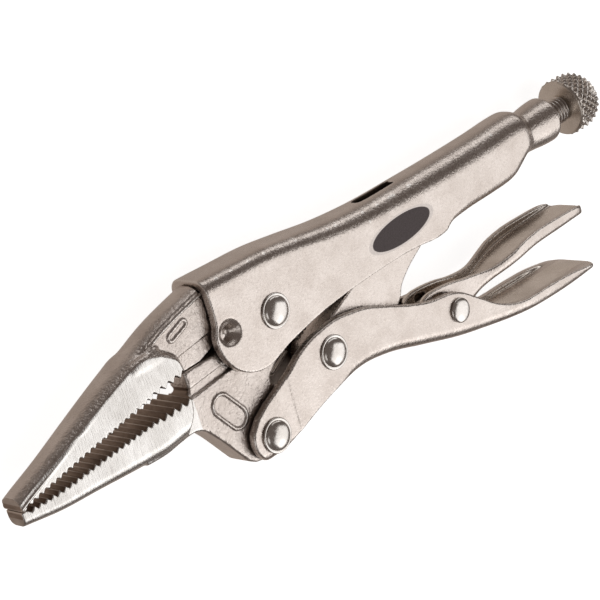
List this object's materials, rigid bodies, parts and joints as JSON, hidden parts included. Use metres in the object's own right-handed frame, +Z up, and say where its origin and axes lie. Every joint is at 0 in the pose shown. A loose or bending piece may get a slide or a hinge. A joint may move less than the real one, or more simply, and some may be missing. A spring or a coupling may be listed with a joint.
{
  "type": "locking pliers",
  "caption": "Long-nose locking pliers with a toothed jaw, folded-sheet handle and lever, toggle link, release lever and knurled adjusting screw.",
  "frame": {"origin": "middle of the bounding box's underside, with the tool lying on its side", "axes": "+X from the nose to the knob along the adjusting screw, +Y from the lever towards the spine, +Z up along the pivots"},
  "size_m": [0.227, 0.06, 0.0192],
  "materials": {
    "satin_nickel": "blasted satin nickel plate over pressed steel sheet",
    "jaw_steel": "forged steel, satin nickel plate, ground flats on the nose",
    "bright_nickel": "bright nickel plate",
    "spring_steel": "plain drawn spring wire"
  },
  "bodies": {
    "frame_body": {"upper_handle": "satin_nickel", "upper_jaw": "jaw_steel", "jaw_pivot_rivet": "bright_nickel", "tension_spring": "spring_steel"},
    "lower_jaw_body": {"lower_jaw": "jaw_steel"},
    "lever_body": {"lower_lever": "satin_nickel", "lever_jaw_rivet": "bright_nickel", "lever_link_rivet": "bright_nickel", "release_rivet": "bright_nickel"},
    "link_body": {"toggle_link": "satin_nickel"},
    "release_body": {"release_lever": "satin_nickel"},
    "screw_body": {"adjusting_screw": "bright_nickel"},
    "knob_body": {"screw_knob": "bright_nickel"}
  },
  "joints": [
    {"name": "jaw_hinge", "type": "hinge", "parent": "frame_body", "child": "lower_jaw_body", "pos_m": [-0.02585, 0.01293, 0.0096], "axis": [0, 0, 1], "range_deg": [0, 24], "deforming": ["tension_spring"]},
    {"name": "lever_hinge", "type": "hinge", "parent": "lower_jaw_body", "child": "lever_body", "pos_m": [-0.03765, -0.01707, 0.0096], "axis": [0, 0, 1], "range_deg": [-61.5, 0]},
    {"name": "link_hinge", "type": "hinge", "parent": "lever_body", "child": "link_body", "pos_m": [-0.01155, -0.00617, 0.0096], "axis": [0, 0, 1], "range_deg": [0, 63]},
    {"name": "release_hinge", "type": "hinge", "parent": "lever_body", "child": "release_body", "pos_m": [0.03545, -0.01677, 0.0096], "axis": [0, 0, 1], "range_deg": [-5, 0]},
    {"name": "screw_slide", "type": "slide", "parent": "frame_body", "child": "screw_body", "axis": [1, 0, 0], "range_m": [0, 0.0125]},
    {"name": "knob_turn", "type": "hinge", "parent": "screw_body", "child": "knob_body", "pos_m": [0.10415, 0.01563, 0.0096], "axis": [1, 0, 0], "range_deg": [0, 3601]}
  ],
  "couplings": [
    {"joint": "lever_hinge", "follows": "jaw_hinge", "ratio": -2.56},
    {"joint": "link_hinge", "follows": "jaw_hinge", "ratio": 2.62},
    {"joint": "knob_turn", "follows": "screw_slide", "rad_per_m": 5026.5}
  ]
}
